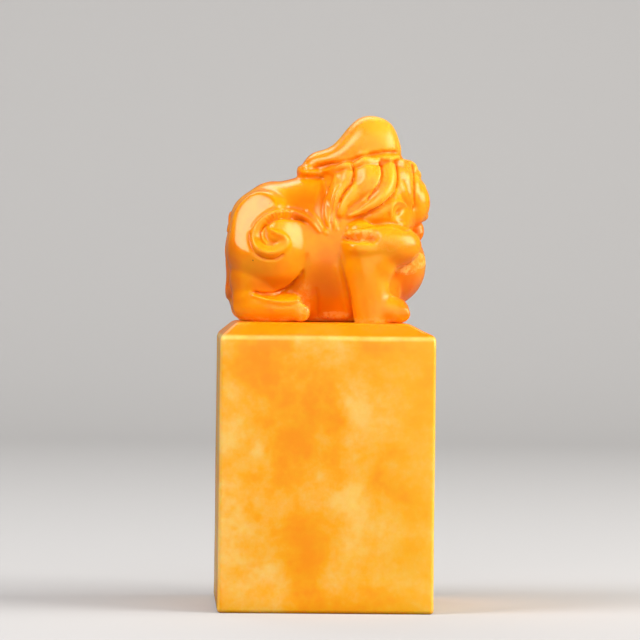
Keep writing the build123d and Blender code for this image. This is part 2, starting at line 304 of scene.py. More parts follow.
def plain_finish(name, shown, unseen, roughness):
    """A plain dull colour."""
    material, finish = new_material(name)
    shader = finish.node("ShaderNodeBsdfPrincipled", Base_Color=finish.seen_pale(shown, unseen),
                         Roughness=roughness, Specular_IOR_Level=0.0)
    finish.node("ShaderNodeOutputMaterial", Surface=shader)
    return material


# Modelling

def alone(piece):
    """Selects one object only and makes it active."""
    bpy.ops.object.select_all(action="DESELECT")
    piece.select_set(True)
    bpy.context.view_layer.objects.active = piece


def joined(parts, name):
    """Several objects as one."""
    alone(parts[0])
    for part in parts:
        part.select_set(True)
    bpy.ops.object.join()
    piece = bpy.context.view_layer.objects.active
    piece.name = name
    piece.data.name = name
    return piece


def modified(piece, kind, **settings):
    """A modifier, applied."""
    alone(piece)
    modifier = piece.modifiers.new(kind.lower(), kind)
    for setting, value in settings.items():
        setattr(modifier, setting, value)
    bpy.ops.object.modifier_apply(modifier=modifier.name)


def blank(node):
    """A copy of a CAD node's mesh in millimetres, with its loose triangles merged, to carve from."""
    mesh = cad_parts[node].data.copy()
    mesh.transform(Matrix.Scale(1 / metres, 4))
    mesh.materials.clear()
    copy = bpy.data.objects.new(node + "_blank", mesh)
    scene.collection.objects.link(copy)
    alone(copy)
    bpy.ops.object.mode_set(mode="EDIT")
    bpy.ops.mesh.select_all(action="SELECT")
    bpy.ops.mesh.remove_doubles(threshold=0.0005)
    bpy.ops.object.mode_set(mode="OBJECT")
    return copy


def mound(centre, reach, turn=(0, 0, 0)):
    """A rounded mass."""
    bpy.ops.object.select_all(action="DESELECT")
    bpy.ops.mesh.primitive_uv_sphere_add(segments=40, ring_count=24, radius=1, location=centre)
    mass = bpy.context.object
    mass.rotation_euler = [radians(angle) for angle in turn]
    mass.scale = reach
    bpy.ops.object.transform_apply(location=True, rotation=True, scale=True)
    return mass


def strand(rows):
    """A round tapering strand, in rows of X, Y, Z and half width."""
    curve = bpy.data.curves.new("strand", "CURVE")
    curve.dimensions = "3D"
    curve.bevel_depth = 1.0
    curve.bevel_resolution = 5
    curve.resolution_u = 10
    curve.use_fill_caps = True
    spline = curve.splines.new("NURBS")
    spline.points.add(len(rows) - 1)
    for point, (x, y, z, half_width) in zip(spline.points, rows):
        point.co = (x, y, z, 1)
        point.radius = half_width
    spline.order_u = 3
    spline.use_endpoint_u = True
    line = bpy.data.objects.new("strand", curve)
    scene.collection.objects.link(line)
    alone(line)
    bpy.ops.object.convert(target="MESH")
    return bpy.context.object


def surface_of(piece):
    """What finds the points of a piece's surface."""
    return BVHTree.FromObject(piece, bpy.context.evaluated_depsgraph_get())


def pair(centre, reach):
    """A rounded mass and its mirror image on the other side."""
    x, y, z = centre
    return [mound((x, side * y, z), reach) for side in (-1, 1)]


def blended(parts, name, voxel, passes):
    """Masses run together, with the creases between them filled."""
    piece = joined(parts, name)
    modified(piece, "REMESH", mode="VOXEL", voxel_size=voxel)
    modified(piece, "SMOOTH", factor=0.5, iterations=passes)
    return piece


def rows_of(source, what):
    """A mesh's points or normals as rows of three numbers."""
    values = np.zeros(len(source) * 3, np.float32)
    source.foreach_get(what, values)
    return values.reshape(-1, 3).astype(float)


def places_of(piece):
    return rows_of(piece.data.vertices, "co")


def normals_of(piece):
    return rows_of(piece.data.vertex_normals, "vector")


def move_points(piece, places):
    """Puts a piece's points at new places."""
    piece.data.vertices.foreach_set("co", places.astype(np.float32).ravel())
    piece.data.update()


def smooth_line(rows, steps=8):
    """A smooth line through rows of numbers."""
    rows = np.array(rows, float)
    ends = np.vstack((2 * rows[0] - rows[1], rows, 2 * rows[-1] - rows[-2]))
    pieces = []
    for before, start, stop, after in zip(ends, ends[1:], ends[2:], ends[3:]):
        for share in np.linspace(0, 1, steps, endpoint=False):
            pieces.append(0.5 * (
                2 * start + (stop - before) * share
                + (2 * before - 5 * start + 4 * stop - after) * share ** 2
                + (3 * start - before - 3 * stop + after) * share ** 3
            ))
    return np.array(pieces + [rows[-1]])


def ramp(values, low, high):
    """0 below low, 1 above high, and smooth between them."""
    share = np.clip((values - low) / (high - low), 0, 1)
    return share * share * (3 - 2 * share)


def slope(away, steep):
    """A cut that falls away gently on one side of its line, and steeply on the other."""
    return np.where(steep, np.clip(1 - away / 0.15, 0, 1), np.clip(1 - away, 0, 1))


# How deep a cut is, from 0 to 1, by how far a point is off its line, in half widths, and on which side
cuts = {
    "vee": lambda away, side: np.clip(1 - away, 0, 1) ** 1.3,
    "round": lambda away, side: np.where(away < 1, 0.5 + 0.5 * np.cos(np.pi * np.minimum(away, 1)), 0),
    "left": lambda away, side: slope(away, side <= 0),
    "right": lambda away, side: slope(away, side >= 0),
}


# A stroke is drawn from well outside the beast. It takes where the stone faces it, from edge on to square on,
# and where the stone lies no deeper or shallower than its line by more than a wall of stone.
outside = -40
edge_on, square_on = 0.05, 0.45
wall_start, wall_end = 1.6, 2.6


def lie_under(line, surface, turned):
    """How far back a surface lies under each point of a line that is drawn on it."""
    inwards = Vector(turned @ (0, 1, 0))
    depths = []
    for x, z, _ in line:
        found = surface.ray_cast(Vector(turned @ (x, outside, z)), inwards)[0]
        depths.append(np.nan if found is None else found.dot(inwards))
    depths = np.array(depths)
    known = ~np.isnan(depths)
    return np.interp(np.arange(len(depths)), np.flatnonzero(known), depths[known])


def nearest_on(line, points):
    """The nearest place along a line to each point, how far off it the point is, and on which side."""
    starts, runs = line[:-1, :2], np.diff(line[:, :2], axis=0)
    offset = points[:, None] - starts[None]
    share = np.clip((offset * runs[None]).sum(2) / (runs ** 2).sum(1)[None], 0, 1)
    gap = offset - share[..., None] * runs[None]
    apart = np.sqrt((gap ** 2).sum(2))
    best = apart.argmin(1)
    pick = np.arange(len(points))
    side = runs[best, 0] * gap[pick, best, 1] - runs[best, 1] * gap[pick, best, 0]
    return best + share[pick, best], apart[pick, best], side


def carve(piece, turn, strokes, mirror=False, fade=0.07):
    """Cuts strokes into a piece from the side that a turn about Z brings to the front. A stroke is its cut,
    its depth, which raises the stone where it is negative, its half width, and a line of rows across and up,
    where a third number is the half width there. A stroke with one half width fades out at its ends."""
    turned = np.array(Matrix.Rotation(radians(turn), 3, "Z"))
    surface = surface_of(piece)
    places, normals = places_of(piece), normals_of(piece)
    flat = places @ turned
    facing = -(normals @ turned)[:, 1]
    change = np.zeros(len(places))
    for cut, depth, half_width, *rows in strokes:
        tapered = len(rows[0]) == 3
        rows = [(*row, half_width) if len(row) == 2 else row for row in rows]
        if mirror:
            rows = [(-x, z, width) for x, z, width in rows]
        line = smooth_line(rows)
        depths = lie_under(line, surface, turned)
        reach = line[:, 2].max() * 1.1
        near = np.flatnonzero(
            (facing > edge_on)
            & (flat[:, 0] > line[:, 0].min() - reach) & (flat[:, 0] < line[:, 0].max() + reach)
            & (flat[:, 2] > line[:, 1].min() - reach) & (flat[:, 2] < line[:, 1].max() + reach)
        )
        along, apart, side = nearest_on(line, flat[near][:, [0, 2]])
        number = np.arange(len(line))
        width = np.interp(along, number, line[:, 2])
        lie = np.interp(along, number, depths)
        shape = cuts[cut](apart / width, -side if mirror else side)
        past = ramp(abs(flat[near, 1] - lie), wall_start, wall_end)
        shape = shape * ramp(facing[near], edge_on, square_on) * (1 - past)
        if not tapered:
            travelled = along / (len(line) - 1)
            shape = shape * ramp(travelled, -0.01, fade) * ramp(1 - travelled, -0.01, fade)
        change[near] += depth * shape
    move_points(piece, places - normals * change[:, None])


# The trunk: rump, barrel and haunches run together
trunk = blended(
    [blank("torso"), mound((-6.2, 0, 41.2), (5.3, 8.3, 8.9)), mound((-6.4, 0, 37.2), (5.1, 7.7, 5.2)),
     mound((-1.0, 0, 41.8), (7.5, 7.2, 8.6))]
    + pair((-6.9, 5.2, 41.9), (4.9, 4.5, 5.3)) + pair((-7.4, 4.4, 43.6), (4.1, 4.8, 5.3)),
    "trunk", voxel=0.35, passes=16,
)

# The breast and the mass that the mane is cut from
breast = blended(
    [mound((7.4, 0, 40.3), (4.6, 6.2, 4.9)), mound((4.6, 0, 36.6), (4.8, 5.8, 4.2)),
     mound((3.0, 0, 46.8), (3.4, 6.6, 6.2)), mound((5.6, 0, 47.4), (4.4, 7.0, 6.2)),
     mound((7.0, 0.4, 46.0), (3.6, 6.0, 4.6)), mound((1.6, 0, 46.2), (3.2, 6.7, 6.0)),
     mound((4.4, 0, 50.2), (5.4, 5.6, 3.8)), mound((4.4, 0, 52.4), (5.0, 4.2, 1.5)),
     mound((6.4, 0.4, 52.7), (2.8, 3.2, 1.6))]
    + pair((7.7, 4.0, 42.4), (3.2, 3.8, 2.7)),
    "breast", voxel=0.3, passes=8,
)


def toes(x, across_places, reach):
    """A row of toes at the front of a paw, standing on the plinth."""
    return [mound((x, across, 34.6), reach) for across in across_places]


# The forelegs: an upper arm that lies along the side, a broad leg and a paw with four toes
forelegs = []
for side in (-1, 1):
    forelegs.append(blended(
        [mound((6.9, side * 6.2, 42.5), (4.2, 3.4, 2.7)), mound((4.2, side * 6.4, 42.6), (2.7, 3.2, 2.7)),
         strand([(4.5, side * 6.4, 43.0, 2.4), (4.5, side * 6.8, 40.6, 2.7), (4.8, side * 6.9, 38.0, 2.5),
                 (5.2, side * 6.9, 35.5, 2.3), (5.6, side * 6.9, 33.0, 2.3)]),
         mound((5.9, side * 6.5, 40.7), (2.3, 2.9, 3.0)), mound((7.4, side * 7.0, 34.9), (2.3, 2.3, 1.8))],
        "foreleg", voxel=0.24, passes=16,
    ))
    forelegs += toes(8.3, (side * 5.4, side * 6.45, side * 7.55, side * 8.6), (1.4, 0.66, 1.1))

# The hind feet, flat on the plinth under the thighs, with three toes
feet = []
for side in (-1, 1):
    feet.append(blended(
        [strand([(-10.1, side * 5.6, 35.2, 1.5), (-9.0, side * 6.6, 35.2, 1.8), (-7.0, side * 7.4, 35.0, 1.9),
                 (-5.0, side * 7.7, 35.1, 1.9), (-3.0, side * 7.7, 35.0, 1.5)]),
         mound((-8.3, side * 6.0, 36.2), (2.8, 2.4, 2.1)), mound((-8.2, side * 5.3, 38.6), (3.2, 3.2, 3.8))],
        "hind_foot", voxel=0.24, passes=9,
    ))
    feet += toes(-3.1, (side * 6.3, side * 7.5, side * 8.7), (1.1, 0.66, 1.1))

# The head looks out over the beast's left side
head_middle = Vector((6.59, 1.41, 48.5))
head_turn = 40
ahead = Vector((cos(radians(head_turn)), sin(radians(head_turn)), 0))
leftward = Vector((-sin(radians(head_turn)), cos(radians(head_turn)), 0))


def on_head(forward, left, up):
    """A place by how far it lies ahead of, left of and above the head's middle."""
    return head_middle + ahead * forward + leftward * left + Vector((0, 0, up))


def face_mound(forward, left, up, reach):
    """A rounded mass of the face."""
    return mound(on_head(forward, left, up), reach, (0, 0, head_turn))


def face_strand(*rows):
    """A tapering strand on the face, in rows of forward, left, up and half width."""
    return strand([(*on_head(forward, left, up), half_width) for forward, left, up, half_width in rows])


head = blended(
    [face_mound(0.4, 0, 0.2, (4.6, 5.2, 4.4)), face_mound(3.8, 0, -1.8, (2.5, 3.3, 1.9)),
     face_mound(3.2, 0, -3.9, (2.3, 2.6, 1.1)), face_mound(3.2, 0, 1.4, (1.8, 3.5, 1.8)),
     face_mound(2.2, -3.1, -0.8, (2.4, 2.0, 2.8)), face_mound(1.8, 3.4, -0.8, (2.4, 2.0, 2.8)),
     face_mound(2.3, -1.6, 3.2, (1.4, 2.0, 1.2)), face_mound(2.3, 1.6, 3.2, (1.4, 2.0, 1.2)),
     face_mound(4.5, 0, 0.5, (1.3, 1.3, 1.4))],
    "head", voxel=0.22, passes=7,
)

# The nose, and on each side a nostril, lip, eye, brow, cheek curl, jaw lock and beard lock
features = [face_mound(5.5, 0, -0.5, (1.1, 1.7, 0.95))]
for side in (-1, 1):
    features += [
        face_mound(5.3, side * 1.25, -0.85, (0.9, 0.85, 0.75)),
        face_mound(4.7, side * 1.5, -2.1, (1.3, 1.6, 1.05)),
        face_mound(3.7, side * 2.15, 0.85, (1.35, 1.3, 1.2)),
        face_strand((4.8, side * 0.45, 1.7, 0.45), (4.5, side * 1.2, 2.3, 0.75), (3.7, side * 2.1, 2.6, 0.80),
                    (2.8, side * 2.8, 2.5, 0.45), (2.5, side * 2.7, 3.0, 0.30)),
        face_strand((4.2, side * 2.9, -2.4, 0.40), (3.6, side * 3.6, -1.9, 0.60),
                    (3.0, side * 4.0, -1.0, 0.62), (2.7, side * 3.9, 0.0, 0.50),
                    (3.0, side * 3.4, 0.3, 0.30)),
        face_strand((3.8, side * 2.4, -3.2, 0.55), (3.3, side * 3.1, -3.9, 0.85),
                    (2.9, side * 3.3, -4.8, 0.75), (3.0, side * 2.9, -5.7, 0.30)),
        face_strand((4.7, side * 0.7, -4.2, 0.60), (4.7, side * 0.8, -5.2, 0.80),
                    (4.4, side * 1.3, -6.1, 0.55), (4.4, side * 2.0, -6.3, 0.30)),
    ]

# The left ear
features.append(
    face_strand((1.4, 4.3, 2.8, 0.45), (1.3, 4.9, 1.4, 0.95), (1.4, 5.0, -0.2, 0.85), (1.9, 4.6, -1.8, 0.35))
)

# The crest, and the brim under its back end
crest = blank("crest")
brim = mound((-2.0, 0, 51.2), (1.45, 3.3, 0.95))

beast = joined([trunk, breast, head, crest, brim] + forelegs + feet + features, "lion_knob")
modified(beast, "REMESH", mode="VOXEL", voxel_size=0.17)
modified(beast, "SMOOTH", factor=0.5, iterations=3)


def flattened(piece, normal, middle, reach, depth):
    """Grinds a flat place into a rounded surface, where it faces along a normal."""
    normal = np.array(Vector(normal).normalized())
    places = places_of(piece)
    near = 1 - ramp(np.linalg.norm(places - np.array(middle), axis=1), reach * 0.75, reach)
    over = places @ normal
    over = over - (over[near > 0.5].max() - depth)
    twice_proud = over + np.sqrt(over ** 2 + 0.04)
    move_points(piece, places - normal * (twice_proud * near * 0.45)[:, None])


# The flat place on each side of the rump
for side in (-1, 1):
    flattened(beast, normal=(-0.39, side * 0.80, 0.46), middle=(-8.2, side * 6.0, 46.2), reach=7.5,
              depth=1.25)

# The larger strokes, drawn on the side
haunch_strokes = (
    ("right", 0.55, 1.0, (-8.8, 37.1, 0.15), (-7.6, 36.85, 0.6), (-5.8, 36.95, 1.0), (-4.4, 37.6, 1.0),
     (-3.4, 38.7, 0.8), (-3.0, 39.4, 0.4)),
    ("round", 0.12, 1.0, (-4.2, 37.9, 0.6), (-3.1, 39.1, 1.1), (-2.6, 40.3, 0.9), (-2.4, 41.2, 0.5)),
    ("round", -0.38, 0.5, (-1.0, 44.0, 0.15), (-1.8, 45.0, 0.35), (-2.6, 45.7, 0.45), (-3.7, 46.15, 0.50),
     (-4.8, 46.25, 0.50), (-6.1, 46.10, 0.50), (-7.3, 45.50, 0.50), (-8.15, 44.7, 0.50), (-8.55, 43.8, 0.50),
     (-8.6, 42.9, 0.50), (-8.2, 42.0, 0.55), (-7.4, 41.6, 0.65), (-6.5, 41.5, 0.72), (-5.6, 41.8, 0.80),
     (-4.9, 42.5, 0.80), (-5.1, 43.3, 0.65), (-5.9, 43.7, 0.45), (-6.7, 44.1, 0.25)),
    ("round", -0.24, 0.45, (-8.6, 36.5, 0.20), (-7.2, 36.1, 0.40), (-5.8, 35.85, 0.45), (-4.4, 35.85, 0.45),
     (-3.4, 36.0, 0.25)),
    ("round", -0.22, 0.6, (-2.3, 46.5, 0.30), (-1.2, 45.3, 0.65), (-0.2, 43.9, 0.40)),
    ("round", 0.40, 0.50, (-7.3, 44.4, 0.35), (-7.3, 43.5, 0.5), (-6.8, 42.9, 0.5), (-6.0, 42.8, 0.3)),
)
barrel_strokes = (
    ("vee", 0.30, 0.28, (1.3, 41.6, 0.10), (1.6, 40.4, 0.22), (2.1, 38.5, 0.28), (2.7, 36.1, 0.28),
     (3.2, 34.0, 0.28)),
    ("round", -0.15, 0.35, (0.9, 40.4), (1.5, 38.3), (2.1, 36.0), (2.6, 34.0)),
    ("vee", 0.20, 0.35, (-1.3, 37.6), (-1.1, 36.2), (-1.0, 34.0)),
    ("round", -0.20, 0.50, (-0.4, 34.2), (1.0, 34.15), (2.6, 34.2)),
)
mane_strokes = (
    ("left", 0.40, 1.1, (0.1, 44.2), (-0.5, 46.0), (-0.4, 47.7), (0.2, 49.4), (0.7, 51.0)),
    ("round", -0.12, 0.5, (1.2, 51.0, 0.50), (0.7, 49.4, 0.70), (0.2, 47.7, 0.75), (0.1, 46.1, 0.65),
     (0.1, 44.4, 0.40)),
    ("round", -0.22, 0.5, (2.0, 52.1, 0.80), (2.1, 50.7, 1.00), (1.6, 49.3, 0.95), (0.9, 47.9, 0.80),
     (0.7, 46.4, 0.65), (1.0, 44.4, 0.35)),
)
right_mane_strokes = mane_strokes + (
    ("round", -0.40, 0.5, (4.3, 52.8, 1.20), (4.6, 51.1, 1.50), (4.1, 49.9, 1.40), (3.1, 48.7, 1.15),
     (2.1, 47.5, 0.90), (1.4, 46.2, 0.60)),
    ("round", -0.40, 0.5, (7.1, 52.5, 0.90), (7.5, 51.1, 1.05), (7.3, 49.7, 1.00), (6.6, 48.5, 0.95),
     (5.3, 47.3, 0.80), (3.8, 46.5, 0.60), (2.6, 46.0, 0.30)),
    ("round", -0.25, 0.5, (8.0, 48.2, 0.40), (7.0, 47.1, 0.80), (5.7, 46.2, 0.85), (4.1, 45.5, 0.70),
     (2.5, 44.6, 0.40)),
    ("round", -0.35, 0.5, (9.2, 52.5, 0.80), (9.4, 51.1, 1.05), (9.5, 49.7, 1.00), (9.7, 48.5, 0.75),
     (10.2, 47.1, 0.30)),
    ("vee", 0.28, 0.34, (2.8, 53.0), (3.1, 51.0), (2.8, 49.8), (1.9, 48.6), (1.3, 47.3), (1.1, 45.9),
     (1.5, 44.5)),
    ("vee", 0.15, 0.35, (5.4, 49.1), (4.4, 48.3), (3.2, 47.4), (2.1, 46.7)),
    ("right", 0.38, 1.0, (4.5, 47.7), (5.5, 49.0), (6.1, 49.9), (6.4, 51.1), (6.1, 53.0)),
    ("vee", 0.15, 0.30, (5.0, 47.7), (3.8, 46.9), (2.4, 46.0)),
    ("right", 0.40, 0.9, (2.6, 45.7), (4.4, 46.2), (6.0, 47.0), (7.2, 48.0), (8.0, 49.0), (8.2, 50.4),
     (8.1, 53.0)),
    ("vee", 0.35, 0.30, (8.2, 52.8), (8.4, 50.4), (8.7, 49.0), (9.3, 47.9), (10.2, 46.7)),
    ("right", 0.36, 0.7, (10.4, 46.7), (10.4, 49.1), (10.4, 50.8), (10.3, 52.6)),
    ("vee", 0.45, 0.45, (2.1, 44.3), (3.9, 44.8), (5.6, 45.1), (7.2, 45.2), (8.6, 44.7), (9.9, 44.5),
     (10.8, 44.0)),
    ("round", 0.42, 0.85, (8.2, 46.7), (8.6, 46.3)),
    ("round", -0.30, 0.3, (7.4, 46.0, 0.24), (7.3, 46.7, 0.34), (7.6, 47.4, 0.34), (8.4, 47.7, 0.30),
     (9.2, 47.3, 0.20)),
    ("round", -0.20, 0.3, (8.2, 45.3, 0.20), (9.0, 45.1, 0.35), (9.9, 44.8, 0.25)),
)
left_mane_strokes = mane_strokes + (
    ("round", -0.35, 0.5, (3.6, 52.5, 0.80), (3.7, 51.0, 0.90), (3.1, 49.6, 0.85), (2.3, 48.3, 0.75),
     (1.9, 46.9, 0.60), (1.9, 45.3, 0.35)),
    ("vee", 0.40, 0.45, (2.8, 52.4), (3.1, 51.0), (2.5, 49.5), (1.7, 48.2), (1.3, 47.0), (1.3, 45.6),
     (1.5, 44.5)),
)
arm_strokes = (
    ("round", 1.05, 0.5, (2.0, 43.35, 0.45), (2.6, 43.30, 0.75), (3.4, 43.35, 1.00), (4.3, 43.40, 1.15),
     (5.0, 43.45, 1.15)),
    ("round", -0.12, 0.65, (2.2, 42.1), (3.4, 41.95), (4.8, 41.95), (5.8, 42.1), (6.5, 42.5)),
)
crest_strokes = (
    ("right", 0.50, 0.8, (-3.2, 51.5), (-1.4, 51.8), (0.3, 52.2), (2.1, 52.6), (3.8, 53.0), (5.6, 53.45),
     (7.3, 53.7), (8.8, 53.6)),
    ("round", -0.26, 0.5, (-0.4, 51.2, 0.20), (0.8, 51.5, 0.50), (3.0, 52.05, 0.55),
     (5.5, 52.55, 0.55), (8.4, 53.0, 0.40)),
    ("vee", 0.25, 0.26, (0.8, 51.0), (3.0, 51.5), (5.5, 52.0), (8.4, 52.45)),
)
for turn, mirror, strokes in (
    (0, False, haunch_strokes + barrel_strokes + right_mane_strokes + arm_strokes + crest_strokes),
    (180, True, haunch_strokes + barrel_strokes + left_mane_strokes + arm_strokes + crest_strokes),
):
    carve(beast, turn, strokes, mirror)

# The flat outer side of each foreleg
for side in (-1, 1):
    flattened(beast, normal=(0, side, 0.06), middle=(4.7, side * 9.2, 38.6), reach=5.0, depth=0.18)

# The tail, a plume laid up against the rump
plume_strokes = (
    ("round", -0.30, 1.0, (0.3, 36.3, 0.5), (-0.3, 38.4, 1.0), (0.3, 41.0, 1.3), (0.2, 43.4, 1.1),
     (-0.5, 45.2, 0.7), (-1.2, 46.2, 0.35)),
)
for side in (-1, 1):
    plume_strokes += (
        ("round", -0.30, 1.0, (side * 0.7, 36.6, 0.4), (side * 1.8, 38.8, 0.9), (side * 2.3, 41.0, 1.1),
         (side * 2.0, 43.0, 0.9), (side * 2.3, 44.4, 0.6), (side * 3.0, 44.8, 0.5),
         (side * 3.4, 44.1, 0.35)),
        ("round", -0.30, 1.0, (side * 1.0, 36.3, 0.4), (side * 2.6, 37.6, 0.8), (side * 3.5, 39.4, 0.9),
         (side * 3.6, 41.0, 0.7), (side * 3.8, 42.2, 0.35)),
        ("vee", 0.40, 0.40, (side * 0.5, 37.4), (side * 1.0, 39.4), (side * 1.3, 41.4), (side * 1.2, 43.4),
         (side * 0.9, 45.0)),
        ("vee", 0.40, 0.40, (side * 1.3, 37.2), (side * 2.6, 38.9), (side * 3.1, 40.9), (side * 2.9, 42.7)),
        ("vee", 0.25, 0.50, (side * 1.6, 35.9), (side * 3.2, 36.7), (side * 4.4, 38.6), (side * 4.7, 40.4)),
    )
carve(beast, -90, plume_strokes)

# The face's lines: mouth, lids and pupils, drawn across it
middle = leftward.dot(head_middle)
face_strokes = (
    ("vee", 0.70, 0.42, (middle - 2.9, 46.9), (middle - 2.1, 46.0), (middle - 0.9, 45.75), (middle, 45.95),
     (middle + 0.9, 45.75), (middle + 2.1, 46.0), (middle + 2.9, 46.9)),
    ("vee", 0.25, 0.30, (middle, 46.2), (middle, 47.2)),
)
for side in (-1, 1):
    face_strokes += (
        ("round", 0.45, 0.42, (middle + side * 0.95, 47.75), (middle + side * 1.15, 47.8)),
        ("vee", 0.42, 0.30, (middle + side * 0.9, 49.2), (middle + side * 1.3, 48.5),
         (middle + side * 2.1, 48.15), (middle + side * 2.9, 48.5), (middle + side * 3.3, 49.3)),
        ("round", 0.42, 0.44, (middle + side * 1.95, 49.3), (middle + side * 2.05, 49.2)),
    )
carve(beast, head_turn + 90, face_strokes, fade=0.05)
modified(beast, "REMESH", mode="VOXEL", voxel_size=0.15)
modified(beast, "SMOOTH", factor=0.5, iterations=1)

# The finer strokes: the sharp lines between the locks and round the curls
fine_haunch = (
    ("vee", 0.25, 0.26, (-9.1, 44.1), (-9.2, 43.0), (-8.8, 41.8), (-7.9, 41.0), (-6.8, 40.75), (-5.8, 40.9),
     (-5.0, 41.5)),
    ("vee", 0.12, 0.24, (-2.8, 46.4), (-3.9, 46.75), (-5.1, 46.85), (-6.4, 46.65), (-7.4, 46.1),
     (-8.3, 45.3), (-9.0, 44.2)),
    ("vee", 0.35, 0.32, (-2.2, 44.9), (-3.3, 45.45), (-4.6, 45.65), (-5.9, 45.5), (-6.9, 45.0),
     (-7.6, 44.3), (-7.9, 43.5), (-7.6, 42.8), (-6.9, 42.5), (-6.0, 42.6)),
    ("vee", 0.20, 0.30, (-8.4, 37.0, 0.1), (-7.4, 36.8, 0.25), (-5.8, 36.95, 0.3), (-4.4, 37.6, 0.3),
     (-3.4, 38.7, 0.15)),
)
# Short nicks across the top of the curl's ridge, drawn outwards from its middle
curl_x, curl_z = -5.1, 43.5
nick_start, nick_end = 2.5, 3.1
for angle in range(68, 148, 9):
    across, up = cos(radians(angle)), sin(radians(angle))
    fine_haunch += (
        ("vee", 0.12, 0.16, (curl_x + nick_start * across, curl_z + nick_start * up, 0.16),
         (curl_x + nick_end * across, curl_z + nick_end * up, 0.08)),
    )
fine_right = fine_haunch + (
    ("vee", 0.14, 0.22, (1.5, 49.7), (0.8, 48.3), (0.5, 46.8), (0.4, 45.4), (0.5, 44.0)),
    ("vee", 0.25, 0.20, (6.1, 52.5), (6.4, 51.1), (6.1, 49.9), (5.5, 49.0), (4.5, 47.7)),
    ("vee", 0.20, 0.22, (2.8, 52.4), (3.1, 51.0), (2.8, 49.8), (1.9, 48.6), (1.3, 47.3)),
    ("vee", 0.25, 0.20, (8.2, 52.5), (8.2, 50.4), (8.0, 49.0), (7.2, 48.0), (6.0, 47.0), (4.4, 46.2)),
    ("vee", 0.30, 0.20, (10.3, 52.6), (10.4, 50.8), (10.4, 49.1), (10.3, 46.7)),
)
carve(beast, 0, fine_right)
carve(beast, 180, fine_haunch, mirror=True)


def neighbours_mean(edges, values):
    """Each point's mean of a value over its neighbours."""
    count = len(values)
    ends = np.concatenate((edges[:, 0], edges[:, 1]))
    others = np.concatenate((edges[:, 1], edges[:, 0]))
    total = np.stack([np.bincount(ends, values[others, axis], count) for axis in range(values.shape[1])], 1)
    return total / np.maximum(np.bincount(ends, minlength=count), 1)[:, None]


def hollows(piece, reach, depth):
    """How deep each point of a piece lies in a hollow, where 1 is a full depth. A ridge is negative."""
    places, normals = places_of(piece), normals_of(piece)
    edges = np.zeros(len(piece.data.edges) * 2, np.int32)
    piece.data.edges.foreach_get("vertices", edges)
    edges = edges.reshape(-1, 2)
    eased = places.copy()
    for _ in range(reach):
        eased = neighbours_mean(edges, eased)
    return ((eased - places) * normals).sum(1) / depth


def store(piece, name, values):
    """Keeps a value for each point of a piece, for its material."""
    attribute = piece.data.attributes.new(name, "FLOAT", "POINT")
    attribute.data.foreach_set("value", values.astype(np.float32))


def highest(ground, places, rows, core):
    """The most that each point has of a ground value and of oval places in the side view. A row is X, Z, the
    reach both ways, the least distance from the middle plane, and how much the place has. It is full out to a
    core share of its reach."""
    for x, z, reach_x, reach_z, least, amount in rows:
        away = np.sqrt(((places[:, 0] - x) / reach_x) ** 2 + ((places[:, 2] - z) / reach_z) ** 2)
        ground = np.maximum(ground, (1 - ramp(away, core, 1.2)) * (abs(places[:, 1]) >= least) * amount)
    return ground


def finished(piece, material, *nodes):
    """Brings a piece down to metres, gives it its material and smooth shading, attaches it to the root and
    hides the CAD nodes that it replaces.
    """
    piece.data.transform(Matrix.Scale(metres, 4))
    piece.data.materials.clear()
    piece.data.materials.append(material)
    alone(piece)
    bpy.ops.object.shade_smooth_by_angle(angle=radians(50))
    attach(piece, "root")
    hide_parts(*nodes)


# Rough places, pale both as rough cut stone and as painted glints: over the arm, beside the hind foot, two on
# the breast, and at the foot between the legs
rough_and_glint_places = (
    (3.7, 43.6, 2.0, 0.75, 6.0, 0.9), (-2.7, 36.1, 0.9, 2.2, 5.0, 0.4), (9.3, 39.7, 1.3, 0.55, 2.0, 1.0),
    (10.9, 40.8, 1.0, 0.9, 0.5, 1.0), (1.0, 34.3, 2.0, 0.5, 5.0, 0.6),
)
# Painted shade, darker where shade falls: before the haunch, before the foreleg, the rump's end, under the
# haunch, the breast's front and the back
painted_shade_places = (
    (-0.6, 37.0, 2.4, 4.6, 4.0, 1.0), (9.9, 37.2, 2.4, 4.2, 0.0, 1.0), (-11.6, 39.0, 1.8, 6.0, 0.0, 1.0),
    (-5.5, 37.8, 3.4, 1.4, 5.0, 1.0), (11.6, 43.4, 0.9, 2.2, 0.0, 1.0), (-2.6, 47.0, 3.0, 2.6, 0.0, 1.0),
)
# Worn places, also painted paler as a highlight where the light falls: the arm, the foreleg and the haunch
wear_and_highlight_places = (
    (7.0, 42.8, 4.2, 2.0, 0.0, 0.6), (5.6, 36.6, 3.4, 4.2, 5.0, 0.4), (-6.6, 40.2, 4.4, 2.6, 5.0, 0.35),
)

places = places_of(beast)
x, z = places[:, 0], places[:, 2]
hollow = hollows(beast, reach=24, depth=0.35)
# The hollows' depth, kept as painted shade for the crevices
store(beast, "painted_crevice_shade", np.clip(hollow, 0, 1))
# A rough band with painted glints along the beast's base
rough_and_glint_rim = 0.45 * (1 - ramp(z, 33.7, 34.3))
store(beast, "rough_cut_and_glint", highest(rough_and_glint_rim, places, rough_and_glint_places, core=0.8))
# The painted shade, in the oval places listed above
shade = highest(np.zeros(len(places)), places, painted_shade_places, core=0.3)
store(beast, "painted_shade", shade)

